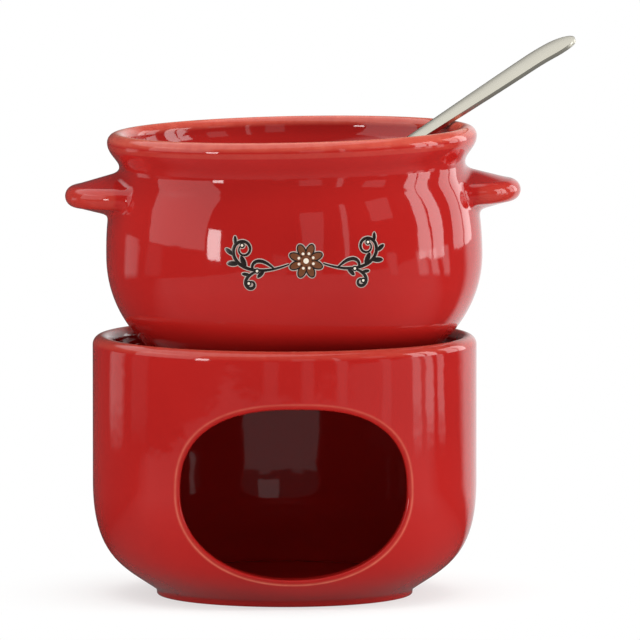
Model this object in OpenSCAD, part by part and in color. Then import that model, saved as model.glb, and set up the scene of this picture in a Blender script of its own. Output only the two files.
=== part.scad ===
// Mini fondue warmer set in red glazed stoneware: an open-fronted candle base, a loose
// two-eared bowl that drops into its top, and a small stamped steel fork leaning in the bowl.
// The origin is the centre of the foot ring, on the table. +Z is up and the front faces -Y.

/* [Warmer base] */
// Outer diameter of the base wall
base_d = 105; // [98:0.5:120]
// Height of the base from the table to the top of its rim
base_h = 71; // [69.5:0.5:80]
// Thickness of the fired wall
base_wall = 5; // [4:0.1:6]
// Outer diameter of the foot ring
base_foot_d = 70; // [64:0.5:76]
// Width of the flat that the base stands on
base_foot_w = 6; // [4:0.5:8]
// Height of the foot ring, which is also the depth of the hollow inside it
base_foot_h = 1.4; // [0.8:0.1:2]
// Height at which the rounded lower part becomes the straight wall
base_belly_h = 31; // [26:0.5:36]

/* [Shelf under the bowl] */
// Height of the top face of the shelf that carries the bowl
shelf_h = 62; // [61.5:0.1:63]
// Thickness of the shelf
shelf_t = 4.2; // [3.6:0.1:4.4]
// Diameter of the heat hole through the shelf
heat_hole_d = 48; // [38:0.5:52]
// Radius in the corner between the shelf and the rim wall
shelf_fillet = 5; // [3:0.1:5.5]

/* [Front opening] */
// Width of the opening between its rounded front edges
opening_w = 65; // [56:0.5:70]
// Height of the opening between its rounded front edges
opening_h = 50.6; // [44:0.2:51.4]
// Height of the middle of the opening
opening_z = 31.8; // [31.5:0.1:32.2]
// Radius of the rolled edge round the opening
opening_edge = 1.8; // [1:0.1:2.4]
// Squareness of the upper half, where 2 is an ellipse
opening_upper_power = 2.5; // [2:0.05:3]
// Squareness of the lower half, where 2 is an ellipse
opening_lower_power = 2.1; // [2:0.05:3]

/* [Fondue bowl] */
// Largest diameter of the bowl, at its belly
bowl_d = 102.8; // [98:0.2:106]
// Height of the bowl from its foot to the top of its lip
bowl_h = 64.4; // [60:0.2:72]
// Thickness of the fired wall
bowl_wall = 4.2; // [3.5:0.1:5]
// Outer diameter of the bowl's foot
bowl_foot_d = 67.2; // [60:0.2:70]
// Width of the flat that the bowl stands on
bowl_foot_w = 4.5; // [3:0.1:5]
// Height of the bowl's foot
bowl_foot_h = 0.8; // [0.5:0.1:1.5]
// Height of the widest part of the belly
bowl_belly_h = 30; // [26:0.5:33]
// Height of the neck under the lip
bowl_neck_h = 54.6; // [52:0.2:56]
// How far the neck draws in from the belly
bowl_neck_in = 4.2; // [3:0.1:5]
// How far the lip turns out from the neck
lip_out = 3.3; // [2:0.1:4]
// Thickness of the rounded lip
lip_t = 5.2; // [4.2:0.1:6]

/* [Ears] */
// Span of the bowl across the tips of its two ears
ear_span = 124.6; // [118:0.2:130]
// Radius of the round end of an ear, seen from above
ear_r = 19; // [15:0.5:22]
// Height of the middle of the ears above the bowl's foot
ear_h = 47.6; // [44:0.2:48]
// How much lower the right ear sits, as the hand-fitted ears of the real bowl differ
ear_drop = 1.1; // [0:0.1:1.6]
// Thickness of an ear where it leaves the bowl
ear_root_t = 10.4; // [8:0.1:11]
// Thickness of an ear beside its rounded edge
ear_tip_t = 6; // [5:0.1:7]

/* [How the loose bowl stands] */
// Sideways distance of the bowl's middle from the base's middle
bowl_shift = 3.3; // [0:0.1:3.4]
// Lean of the bowl towards its left ear, in degrees
bowl_lean = 1.2; // [0:0.1:1.5]
// Clearance between the bowl's foot and the shelf at the low side
seat_gap = 0.2; // [0.1:0.05:0.4]

/* [Fork] */
// Length of the fork from its tines to the end of its handle
fork_l = 138.5; // [125:0.5:150]
// Thickness of the steel
fork_t = 1.2; // [0.9:0.1:1.6]
// Width of the head across its tines
fork_head_w = 12.4; // [10:0.2:14]
// Width of the neck behind the head
fork_neck_w = 4.2; // [3:0.1:5]
// Greatest width of the handle
fork_handle_w = 8.2; // [6:0.1:10]
// Length of the slots between the tines
fork_slot_l = 19; // [14:0.5:22]
// Width of a slot at its closed end
fork_slot_w = 1.7; // [1.2:0.1:2]
// Number of tines
fork_tines = 3; // [2:1:4]
// How far the tips of the tines rise above the hollow of the head
fork_dish = 2.4; // [1:0.1:3.5]
// How far the end of the handle turns down
fork_droop = 1.6; // [0:0.1:2.5]
// Direction in which the handle crosses the lip, in degrees from the right ear
fork_lip_turn = 17; // [8:1:30]
// Direction of the tines from the middle of the bowl, in degrees from the right ear
fork_tip_turn = 164; // [155:1:172]
// Turn of the fork about its own length, in degrees
fork_roll = 19; // [0:1:35]
// Clearance between the fork and the glaze where it leans
fork_gap = 0.3; // [0.2:0.05:0.5]

/* [Hidden] */
glaze_red = "#b01f1e";
steel_grey = "#c9c6b8";
// How far a cut runs past the faces that it opens
overrun = 6;
$fn = 96;

// Derived sizes of the base
base_r = base_d / 2;
base_lip_r = base_wall / 2;
base_inner_r = base_r - base_wall;
base_foot_r = base_foot_d / 2;
ceiling_h = shelf_h - shelf_t;
shelf_edge_r = shelf_t / 2;
heat_hole_r = heat_hole_d / 2;

// Handles of the base's lower curve, as shares of its width and of its rise
base_toe_shares = [0.51, 0.21];
base_belly_share = 0.29;

// Derived sizes of the bowl
bowl_r = bowl_d / 2;
bowl_foot_r = bowl_foot_d / 2;
neck_r = bowl_r - bowl_neck_in;
lip_r = lip_t / 2;
lip_ring_r = neck_r + lip_out - lip_r;
lip_ring_h = bowl_h - lip_r;
ear_x = ear_span / 2 - ear_r;

// Handles of the bowl's lower curve, its shoulder and its lip, as shares of their width and rise
bowl_toe_shares = [0.205, 0.056];
bowl_belly_share = 0.384;
bowl_shoulder_shares = [0.77, 0.81];
lip_flare_shares = [0.35, 0.55];

// Steps along each curve and round each arc
curve_steps = 14;
arc_steps = 10;
oval_steps = 72;
edge_steps = 3;

// Points of a cubic curve with end points a and d and handles b and c
function curve(a, b, c, d, n = curve_steps) = [for (i = [0:n])
    let (t = i / n, s = 1 - t)
    s * s * s * a + 3 * s * s * t * b + 3 * s * t * t * c + t * t * t * d];

// Points of an arc about c, from angle a0 to angle a1
function arc(c, r, a0, a1, n = arc_steps) = [for (i = [0:n])
    let (a = a0 + (a1 - a0) * i / n)
    c + r * [cos(a), sin(a)]];

// The list without its first point
function rest_of(list) = [for (i = [1:len(list) - 1]) list[i]];

// The list from its last point to its first
function reversed(list) = [for (i = [len(list) - 1:-1:0]) list[i]];

// Unit direction of a line of points at point i
function heading(points, i) =
    let (d = points[min(i + 1, len(points) - 1)] - points[max(i - 1, 0)])
    d / norm(d);

// The line of points moved to its left by d
function moved_left(points, d) = [for (i = [0:len(points) - 1])
    let (h = heading(points, i))
    points[i] + d * [-h[1], h[0]]];

// Outside of the base, from the top of its foot to the end of its lower curve
base_curve = curve(
    [base_foot_r, base_foot_h],
    [base_foot_r + base_toe_shares[0] * (base_r - base_foot_r),
     base_foot_h + base_toe_shares[1] * (base_belly_h - base_foot_h)],
    [base_r, base_foot_h + base_belly_share * (base_belly_h - base_foot_h)],
    [base_r, base_belly_h]);

// Inside of the chamber, from the floor upwards
chamber_curve = moved_left(base_curve, base_wall);
floor_h = chamber_curve[0][1];

// Radius of the base's outside at height z
base_table = [for (p = base_curve) [p[1], p[0]]];
function base_outside(z) = lookup(z, base_table);

// Half section of the base, from the axis under the floor round to the axis above it
base_section = concat(
    [[0, base_foot_h],
     [base_foot_r - base_foot_w, base_foot_h],
     [base_foot_r - base_foot_w, 0],
     [base_foot_r, 0]],
    base_curve,
    arc([base_r - base_lip_r, base_h - base_lip_r], base_lip_r, 0, 180),
    arc([base_inner_r - shelf_fillet, shelf_h + shelf_fillet], shelf_fillet, 0, -90),
    arc([heat_hole_r + shelf_edge_r, shelf_h - shelf_edge_r], shelf_edge_r, 90, 270),
    arc([base_inner_r - shelf_fillet, ceiling_h - shelf_fillet], shelf_fillet, 90, 0),
    reversed(chamber_curve),
    [[0, floor_h]]);

// Where the opening's cutter ends in the empty chamber, as a share of the chamber's radius
opening_back_share = 0.68;

// How far the rolled edge is carried on past the wall, as a share of its radius
edge_reach_share = 0.6;

// Point of the opening's outline at angle a, with its half width and half height grown by e
function opening_point(a, e) =
    let (power = 2 / (sin(a) < 0 ? opening_lower_power : opening_upper_power))
    [sign(cos(a)) * pow(abs(cos(a)), power) * (opening_w / 2 - opening_edge + e),
     opening_z + sign(sin(a)) * pow(abs(sin(a)), power) * (opening_h / 2 - opening_edge + e)];

// Angle at which the rolled edge meets the wall: it is a little short of smooth
opening_meet = 25;

// Depth into the wall and growth of the outline for each ring round the rolled edge. The first
// ring carries the edge straight on past the outside of the wall.
function edge_at(a) = opening_edge * [1 - cos(a), 1 - sin(a)];
opening_rings = concat(
    [edge_at(opening_meet) + edge_reach_share * opening_edge * [-sin(opening_meet), cos(opening_meet)]],
    [for (i = [0:edge_steps]) edge_at(opening_meet + (90 - opening_meet) * i / edge_steps)]);

// One ring of the cutter: it lies at depth d under the round wall, or flat at y where y is given
function opening_ring(d, e, y = undef) = [for (i = [0:oval_steps - 1])
    let (p = opening_point(360 * (i + 0.5) / oval_steps, e), r = base_outside(p[1]) - d)
    [p[0], is_undef(y) ? -sqrt(r * r - p[0] * p[0]) : y, p[1]]];

// The cutter comes in flat from outside, follows the round wall so that the rolled edge keeps
// its radius all the way round, and runs straight on into the chamber
module opening_cutter() {
    m = oval_steps;
    last = (len(opening_rings) + 1) * m;
    points = concat(
        opening_ring(0, opening_rings[0][1], -base_r - overrun),
        [for (ring = opening_rings) each opening_ring(ring[0], ring[1])],
        opening_ring(0, 0, -opening_back_share * base_inner_r));
    sides = [for (k = [0:len(opening_rings)]) for (i = [0:m - 1])
        let (a = k * m + i, b = k * m + (i + 1) % m, c = b + m, d = a + m)
        each [[a, b, c], [a, c, d]]];
    front = [for (i = [1:m - 2]) [0, i + 1, i]];
    back = [for (i = [1:m - 2]) [last, last + i, last + i + 1]];
    polyhedron(points = points, faces = concat(sides, front, back));
}

module warmer_base() {
    color(glaze_red) difference() {
        rotate_extrude() polygon(base_section);
        opening_cutter();
    }
}

// Outside of the bowl, from the top of its foot to its neck
bowl_lower = curve(
    [bowl_foot_r, bowl_foot_h],
    [bowl_foot_r + bowl_toe_shares[0] * (bowl_r - bowl_foot_r),
     bowl_foot_h + bowl_toe_shares[1] * (bowl_belly_h - bowl_foot_h)],
    [bowl_r, bowl_foot_h + bowl_belly_share * (bowl_belly_h - bowl_foot_h)],
    [bowl_r, bowl_belly_h]);
bowl_shoulder = curve(
    [bowl_r, bowl_belly_h],
    [bowl_r, bowl_belly_h + bowl_shoulder_shares[0] * (bowl_neck_h - bowl_belly_h)],
    [neck_r, bowl_belly_h + bowl_shoulder_shares[1] * (bowl_neck_h - bowl_belly_h)],
    [neck_r, bowl_neck_h]);
bowl_curve = concat(bowl_lower, rest_of(bowl_shoulder));

// Flare from the neck to the lip, outside and inside
lip_rise = lip_ring_h - bowl_neck_h;
lip_outside = curve(
    [neck_r, bowl_neck_h],
    [neck_r, bowl_neck_h + lip_flare_shares[0] * lip_rise],
    [neck_r + lip_out, bowl_neck_h + lip_flare_shares[1] * lip_rise],
    [neck_r + lip_out, lip_ring_h]);
lip_inside = curve(
    [neck_r - bowl_wall, bowl_neck_h],
    [neck_r - bowl_wall, bowl_neck_h + lip_flare_shares[0] * lip_rise],
    [lip_ring_r - lip_r, bowl_neck_h + lip_flare_shares[1] * lip_rise],
    [lip_ring_r - lip_r, lip_ring_h]);

// Inside of the bowl, from its floor to its neck
bowl_inner_curve = moved_left(bowl_curve, bowl_wall);
bowl_floor_h = bowl_inner_curve[0][1];

// Height of the bowl's inside at radius r from its middle
bowl_table = [for (i = [0:curve_steps]) bowl_inner_curve[i]];
function bowl_inside(r) = lookup(r, bowl_table);

bowl_solid_section = concat(
    [[0, bowl_foot_h],
     [bowl_foot_r - bowl_foot_w, bowl_foot_h],
     [bowl_foot_r - bowl_foot_w, 0],
     [bowl_foot_r, 0]],
    bowl_curve,
    rest_of(lip_outside),
    rest_of(arc([lip_ring_r, lip_ring_h], lip_r, 0, 90)),
    [[0, bowl_h]]);

bowl_hollow_section = concat(
    [[0, bowl_h + overrun],
     [lip_ring_r, bowl_h + overrun]],
    arc([lip_ring_r, lip_ring_h], lip_r, 90, 180),
    rest_of(reversed(lip_inside)),
    rest_of(reversed(bowl_inner_curve)),
    [[0, bowl_floor_h]]);

// An ear is a round tab that thins outwards and ends in a rounded edge
module ear() {
    edge_r = ear_tip_t / 2;
    root_x = bowl_r - ear_x;
    slope = (ear_root_t / 2 - edge_r) / (ear_r - edge_r - root_x);
    upper = arc([ear_r - edge_r, 0], edge_r, 90, 0);
    rotate_extrude() polygon(concat(
        [[0, -edge_r - slope * (ear_r - edge_r)], [0, edge_r + slope * (ear_r - edge_r)]],
        upper,
        rest_of([for (p = reversed(upper)) [p[0], -p[1]]])));
}

// Puts what is drawn in the bowl's own frame where the loose bowl stands
module in_bowl_place() {
    low_side = bowl_foot_r * sin(bowl_lean);
    translate([bowl_shift, 0, shelf_h + seat_gap + low_side]) rotate([0, -bowl_lean, 0]) children();
}

module fondue_bowl() {
    color(glaze_red) in_bowl_place() difference() {
        union() {
            rotate_extrude() polygon(bowl_solid_section);
            for (side = [-1, 1]) translate([side * ear_x, 0, ear_h - (side > 0 ? ear_drop : 0)]) ear();
        }
        rotate_extrude() polygon(bowl_hollow_section);
    }
}

// Places along the fork from its tips, as shares of its length
shoulder_share = 0.13;
head_end_share = 0.21;
neck_share = 0.3;
handle_shares = [0.68, 0.72];
handle_wide_share = 0.925;
handle_end_share = 0.965;
hollow_shares = [0.05, 0.11, 0.16];
arch_shares = [0.21, 0.24, 0.32];
droop_shares = [0.9, 0.94, 0.98];

// Widths of the tips of the outer tines and of the handle's round end, as shares of the
// head's and the handle's half widths
tine_tip_share = 0.78;
handle_round_share = 0.5;

// Radius at which the tines rest inside the bowl, as a share of the bowl's radius
fork_tip_share = 0.79;

// One side of the fork's outline, from the outer tine's tip to the end of the handle
fork_side =
    let (l = fork_l, head = fork_head_w / 2, neck = fork_neck_w / 2, handle = fork_handle_w / 2)
    concat(
        curve([0, tine_tip_share * head], [shoulder_share / 2 * l, head],
              [shoulder_share / 2 * l, head], [shoulder_share * l, head]),
        rest_of(curve([shoulder_share * l, head], [head_end_share * l, head],
              [head_end_share * l, neck], [neck_share * l, neck])),
        rest_of(curve([neck_share * l, neck], [handle_shares[0] * l, neck],
              [handle_shares[1] * l, handle], [handle_wide_share * l, handle])),
        rest_of(curve([handle_wide_share * l, handle], [handle_end_share * l, handle],
              [l, handle_round_share * handle], [l, 0])));

module fork_outline() {
    pitch = fork_head_w / fork_tines;
    difference() {
        polygon(concat(fork_side, rest_of([for (p = reversed(fork_side)) [p[0], -p[1]]])));
        for (i = [1:fork_tines - 1]) translate([0, i * pitch - fork_head_w / 2]) {
            translate([fork_slot_l, 0]) circle(d = fork_slot_w, $fn = 24);
            polygon([[-overrun, -fork_slot_w], [fork_slot_l, -fork_slot_w / 2],
                     [fork_slot_l, fork_slot_w / 2], [-overrun, fork_slot_w]]);
        }
    }
}

// Middle line of the steel from the side: dished head, arched neck, straight handle, drooping end
fork_line =
    let (l = fork_l, low = -fork_t)
    concat(
        curve([0, low + fork_dish], [hollow_shares[0] * l, low],
              [hollow_shares[1] * l, low], [hollow_shares[2] * l, low]),
        rest_of(curve([hollow_shares[2] * l, low], [arch_shares[0] * l, low],
              [arch_shares[1] * l, 0], [arch_shares[2] * l, 0])),
        rest_of(curve([droop_shares[0] * l, 0], [droop_shares[1] * l, 0],
              [droop_shares[2] * l, -fork_droop / 2], [l, -fork_droop])));

module flat_fork() {
    band = concat(moved_left(fork_line, fork_t / 2), reversed(moved_left(fork_line, -fork_t / 2)));
    intersection() {
        translate([0, 0, -overrun]) linear_extrude(2 * overrun) fork_outline();
        rotate([90, 0, 0]) translate([0, 0, -fork_head_w]) linear_extrude(2 * fork_head_w) polygon(band);
    }
}

// How far the lower edge of a width w of the rolled fork hangs under its middle line
function fork_hang(w) = w / 2 * sin(fork_roll) + fork_t / 2 * cos(fork_roll) + fork_gap;

// Where the tines rest on the inside of the bowl, and the middle of the lip's round edge where
// the handle leans on it
fork_tip_r = fork_tip_share * bowl_r;
fork_tip = [fork_tip_r * cos(fork_tip_turn), fork_tip_r * sin(fork_tip_turn),
            bowl_inside(fork_tip_r) + fork_hang(tine_tip_share * fork_head_w)];
lip_point = [lip_ring_r * cos(fork_lip_turn), lip_ring_r * sin(fork_lip_turn), lip_ring_h];
fork_plan = [lip_point[0] - fork_tip[0], lip_point[1] - fork_tip[1]];
fork_turn = atan2(fork_plan[1], fork_plan[0]);

// Lean at which the handle passes over the round edge with its clearance
lip_rise_from_tip = lip_point[2] - fork_tip[2];
lip_distance = norm([norm(fork_plan), lip_rise_from_tip]);
width_at_lip = 2 * lookup(lip_distance, fork_side);
fork_lean = atan2(lip_rise_from_tip, norm(fork_plan))
    + asin((lip_r + fork_hang(width_at_lip)) / lip_distance);

module fork() {
    color(steel_grey) in_bowl_place() translate(fork_tip)
        rotate([fork_roll, -fork_lean, fork_turn]) flat_fork();
}

warmer_base();
fondue_bowl();
fork();
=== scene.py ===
"""Small red glazed fondue set: a candle base, a loose two-eared bowl and a steel fork.

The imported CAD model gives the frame. The glazed pieces are turned again here as fine meshes,
with the rolled edge of the front opening and the run of the clay round the ears, and the fork
gets its rounded stamped edges. Sizes in the classes are millimetres, meshes are metres.
"""
import logging
import math
from collections.abc import Callable
from dataclasses import dataclass, field, replace
from enum import Enum

import bpy
import numpy as np
from bpy.types import ID, Material, Mesh, NodeSocket, NodeTree, Object
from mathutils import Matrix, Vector


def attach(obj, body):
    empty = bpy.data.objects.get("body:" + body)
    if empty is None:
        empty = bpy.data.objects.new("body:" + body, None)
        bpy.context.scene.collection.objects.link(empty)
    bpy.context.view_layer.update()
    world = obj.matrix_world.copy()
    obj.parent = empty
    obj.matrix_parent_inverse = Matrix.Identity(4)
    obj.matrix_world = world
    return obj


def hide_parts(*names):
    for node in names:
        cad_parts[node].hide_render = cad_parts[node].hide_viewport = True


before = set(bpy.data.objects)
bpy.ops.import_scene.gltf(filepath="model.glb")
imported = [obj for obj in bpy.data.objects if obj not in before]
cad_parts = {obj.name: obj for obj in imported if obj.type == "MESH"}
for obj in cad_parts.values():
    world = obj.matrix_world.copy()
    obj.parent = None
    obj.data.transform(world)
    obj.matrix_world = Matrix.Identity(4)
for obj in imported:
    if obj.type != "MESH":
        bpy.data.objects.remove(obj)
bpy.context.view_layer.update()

LOG = logging.getLogger("fondue_set")
MM = 0.001
CURVE_STEPS = 160
ARC_STEPS = 60
SOFT_STEPS = 12
ROW_DETAIL = 12

Line = np.ndarray | list
Rows = tuple[int, int]
Span = tuple[float, float]
Triple = tuple[float, float, float]
Window = tuple[np.ndarray, np.ndarray, np.ndarray]
WallRadius = Callable[[np.ndarray], np.ndarray]


def linear(code: str) -> tuple[float, float, float, float]:
    """Turns an sRGB hex code into a linear colour.

    Args:
        code: Six hex digits after a hash sign.

    Returns:
        Red, green, blue and an alpha of 1.
    """
    parts = [int(code[i:i + 2], 16) / 255 for i in (1, 3, 5)]
    r, g, b = (v / 12.92 if v <= 0.04045 else ((v + 0.055) / 1.055) ** 2.4 for v in parts)
    return r, g, b, 1.0


def add(tree: NodeTree, kind: str, inputs: dict | tuple = (), out: int | str = 0,
        **settings) -> NodeSocket | None:
    """Adds one node with its settings, values and links.

    Args:
        tree: The node tree that gets the node.
        kind: The node's type name.
        inputs: Values or output sockets by the input's name or number, or in the inputs' order.
        out: Name or number of the output that is handed back.
        **settings: The node's own properties.

    Returns:
        The output, or nothing if the node has none.
    """
    node = tree.nodes.new(kind)
    for key, value in settings.items():
        setattr(node, key, value)
    for key, value in inputs.items() if isinstance(inputs, dict) else enumerate(inputs):
        if isinstance(value, NodeSocket):
            tree.links.new(value, node.inputs[key])
        else:
            node.inputs[key].default_value = value
    return node.outputs[out] if node.outputs else None


def in_scene(name: str, data: ID) -> Object:
    """Puts a mesh, lamp or camera into the scene as an object at the origin.

    Args:
        name: The object's name.
        data: What it shows.

    Returns:
        The linked object.
    """
    made = bpy.data.objects.new(name, data)
    bpy.context.scene.collection.objects.link(made)
    return made


def plain_mesh(piece: Object) -> Mesh:
    """Turns a piece with modifiers into a plain mesh.

    Args:
        piece: The object. Its modifiers are removed.

    Returns:
        Its new mesh.
    """
    graph = bpy.context.evaluated_depsgraph_get()
    made = bpy.data.meshes.new_from_object(piece.evaluated_get(graph), depsgraph=graph)
    piece.modifiers.clear()
    piece.data = made
    made.name = piece.name
    return made


def bezier(a: tuple, b: tuple, c: tuple, d: tuple) -> np.ndarray:
    """Draws a cubic curve.

    Args:
        a: Its start.
        b: The start's handle.
        c: The end's handle.
        d: Its end.

    Returns:
        Points along it.
    """
    t = np.linspace(0, 1, CURVE_STEPS + 1)[:, None]
    s = 1 - t
    return (s ** 3 * np.array(a, float) + 3 * s * s * t * np.array(b, float)
            + 3 * s * t * t * np.array(c, float) + t ** 3 * np.array(d, float))


def arc(centre: tuple, radius: float, start: float, end: float) -> np.ndarray:
    """Points of an arc about a centre between two angles in degrees."""
    a = np.radians(np.linspace(start, end, ARC_STEPS + 1))
    return np.array(centre) + radius * np.column_stack([np.cos(a), np.sin(a)])


def arc_length(points: np.ndarray) -> np.ndarray:
    """Distance along a line of points, from 0 at its first point."""
    return np.concatenate([[0.0], np.cumsum(np.linalg.norm(np.diff(points, axis=0), axis=1))])


def moved_left(points: np.ndarray, distance: float) -> np.ndarray:
    """Moves a line of points to its left.

    Args:
        points: The line.
        distance: How far it is moved.

    Returns:
        The moved line.
    """
    step = np.gradient(points, axis=0)
    step /= np.linalg.norm(step, axis=1)[:, None]
    return points + distance * np.column_stack([-step[:, 1], step[:, 0]])


def joined(*parts: Line) -> np.ndarray:
    """Sets lines of points end to end, without points that repeat.

    Args:
        *parts: The lines.

    Returns:
        One line.
    """
    line = np.vstack([np.asarray(p, float) for p in parts])
    keep = np.concatenate([[True], np.linalg.norm(np.diff(line, axis=0), axis=1) > 1e-6])
    return line[keep]


def soft_corner(before: Line, after: Line, reach: float) -> np.ndarray:
    """Joins two lines whose ends meet in a corner by a small curve.

    Args:
        before: The line that ends in the corner.
        after: The line that starts in the corner.
        reach: How far from the corner the curve starts and ends.

    Returns:
        One line of points.
    """
    before, after = np.asarray(before, float), np.asarray(after, float)
    s, t = arc_length(before), arc_length(after)
    start = np.array([np.interp(s[-1] - reach, s, before[:, k]) for k in (0, 1)])
    end = np.array([np.interp(reach, t, after[:, k]) for k in (0, 1)])
    u = np.linspace(0, 1, SOFT_STEPS + 1)[:, None]
    bend = (1 - u) ** 2 * start + 2 * (1 - u) * u * before[-1] + u * u * end
    return joined(before[s < s[-1] - reach], bend, after[t > reach])


def on_round(turn: np.ndarray, radius: np.ndarray, height: np.ndarray) -> np.ndarray:
    """Points at an angle from the front, counter-clockwise from above, in radians."""
    return np.stack([radius * np.sin(turn), -radius * np.cos(turn), height + 0 * turn], axis=-1)


class Slot(Enum):
    """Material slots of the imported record."""

    GLAZE = "red_glaze"
    STEEL = "stamped_steel"


class Body(Enum):
    """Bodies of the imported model."""

    BASE = "warmer_base"
    BOWL = "fondue_bowl"
    FORK = "fork"


def new_material(name: str) -> tuple[Material, NodeTree]:
    """Makes an empty node material.

    Args:
        name: The material's name.

    Returns:
        The material and its tree.
    """
    material = bpy.data.materials.new(name)
    material.use_nodes = True
    material.node_tree.nodes.clear()
    return material, material.node_tree


@dataclass(frozen=True)
class RedGlaze:
    """Glossy red glaze, poured over stoneware and fired."""

    # A thick clear glass over red: sharp reflections that waver a little, and a colour that goes
    # pale along edges, where the glaze thinned and where a highlight is painted, and deep where it pooled
    body: str = "#b3211d"
    pooled: str = "#991513"
    # Pale edge colour: glaze that thinned on edges, partly a painted highlight
    thin: str = "#ec8a70"
    ior: float = 1.52
    roughness: tuple[float, float] = (0.035, 0.07)
    wave: float = 13.0
    wave_height: float = 0.16
    sag: float = 0.45
    peel: float = 4.2
    peel_height: float = 0.024
    pool: float = 38.0
    patch: float = 3.0
    speck: float = 5.5

    def material(self) -> Material:
        """Clear gloss over a red that is lighter where the glaze thinned on edges, with a painted highlight
        there.

        Returns:
            The material.
        """
        material, tree = new_material("red_gloss_glaze_fired")
        place = add(tree, "ShaderNodeTexCoord", out="Object")
        pool = add(tree, "ShaderNodeTexNoise", {"Vector": place, "Scale": 1 / (self.pool * MM),
                                                "Detail": 2.0, "Roughness": 0.45})
        tint = add(tree, "ShaderNodeMix", {0: pool, 6: linear(self.pooled), 7: linear(self.body)}, 2,
                   data_type="RGBA")
        # Where the pale edge colour goes: thinned glaze and a painted highlight on lips, rims and edges
        thin = add(tree, "ShaderNodeAttribute", out="Fac", attribute_name="thin")
        patches = add(tree, "ShaderNodeTexNoise", {"Vector": place, "Scale": 1 / (self.patch * MM),
                                                   "Detail": 3.0})
        patchy = add(tree, "ShaderNodeMath", (patches, 0.45))
        amount = add(tree, "ShaderNodeMath", (thin, patchy), operation="MULTIPLY", use_clamp=True)
        edge = add(tree, "ShaderNodeMix", {0: amount, 6: tint, 7: linear(self.thin)}, 2, data_type="RGBA")
        cells = add(tree, "ShaderNodeTexVoronoi", {"Vector": place, "Scale": 1 / (self.speck * MM)})
        spot = add(tree, "ShaderNodeMapRange", (cells, 0.02, 0.05, 0.55, 0.0))
        specks = add(tree, "ShaderNodeMix", {0: spot, 6: edge, 7: linear(self.pooled)}, 2,
                     data_type="RGBA")
        drawn = add(tree, "ShaderNodeMapping", {"Vector": place, "Scale": (1.0, 1.0, self.sag)})
        wave = add(tree, "ShaderNodeTexNoise", {"Vector": drawn, "Scale": 1 / (self.wave * MM),
                                                "Detail": 1.6, "Roughness": 0.4})
        peel = add(tree, "ShaderNodeTexNoise", {"Vector": place, "Scale": 1 / (self.peel * MM),
                                                "Detail": 1.0})
        rough = add(tree, "ShaderNodeMapRange", (pool, 0.0, 1.0, *self.roughness))
        slow = add(tree, "ShaderNodeBump", {"Height": wave, "Distance": self.wave_height * MM})
        fine = add(tree, "ShaderNodeBump", {"Height": peel, "Distance": self.peel_height * MM,
                                            "Normal": slow})
        shader = add(tree, "ShaderNodeBsdfPrincipled", {"Base Color": specks, "Roughness": rough,
                                                        "IOR": self.ior, "Normal": fine})
        add(tree, "ShaderNodeOutputMaterial", {"Surface": shader})
        return material


@dataclass(frozen=True)
class BareClay:
    """Unglazed stoneware on the ground foot rings."""

    # Sanded fired clay: no shine at all and a buff, grainy ring under each piece
    light: str = "#cdb79a"
    dark: str = "#a88f72"
    grain: float = 1.1
    grain_height: float = 0.05
    roughness: float = 0.88

    def material(self) -> Material:
        """Dull buff clay with a sandy grain.

        Returns:
            The material.
        """
        material, tree = new_material("bare_stoneware_ground")
        place = add(tree, "ShaderNodeTexCoord", out="Object")
        grain = add(tree, "ShaderNodeTexNoise", {"Vector": place, "Scale": 1 / (self.grain * MM),
                                                 "Detail": 5.0, "Roughness": 0.65})
        tint = add(tree, "ShaderNodeMix", {0: grain, 6: linear(self.dark), 7: linear(self.light)}, 2,
                   data_type="RGBA")
        bump = add(tree, "ShaderNodeBump", {"Height": grain, "Distance": self.grain_height * MM})
        shader = add(tree, "ShaderNodeBsdfPrincipled", {"Base Color": tint, "Roughness": self.roughness,
                                                        "Normal": bump})
        add(tree, "ShaderNodeOutputMaterial", {"Surface": shader})
        return material


@dataclass(frozen=True)
class Enamel:
    """Overglaze colour, printed and fired on."""

    # Colour melted into the glaze: flat and opaque, with a shine that is softer than the red's
    name: str
    colour: str
    worn: str
    cloud: float = 1.6
    roughness: float = 0.22

    def material(self) -> Material:
        """A flat fired colour that is a little thinner in places.

        Returns:
            The material.
        """
        material, tree = new_material(self.name)
        place = add(tree, "ShaderNodeTexCoord", out="Object")
        cloud = add(tree, "ShaderNodeTexNoise", {"Vector": place, "Scale": 1 / (self.cloud * MM),
                                                 "Detail": 4.0})
        tint = add(tree, "ShaderNodeMix", {0: cloud, 6: linear(self.worn), 7: linear(self.colour)}, 2,
                   data_type="RGBA")
        shader = add(tree, "ShaderNodeBsdfPrincipled", {"Base Color": tint, "Roughness": self.roughness})
        add(tree, "ShaderNodeOutputMaterial", {"Surface": shader})
        return material


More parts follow.
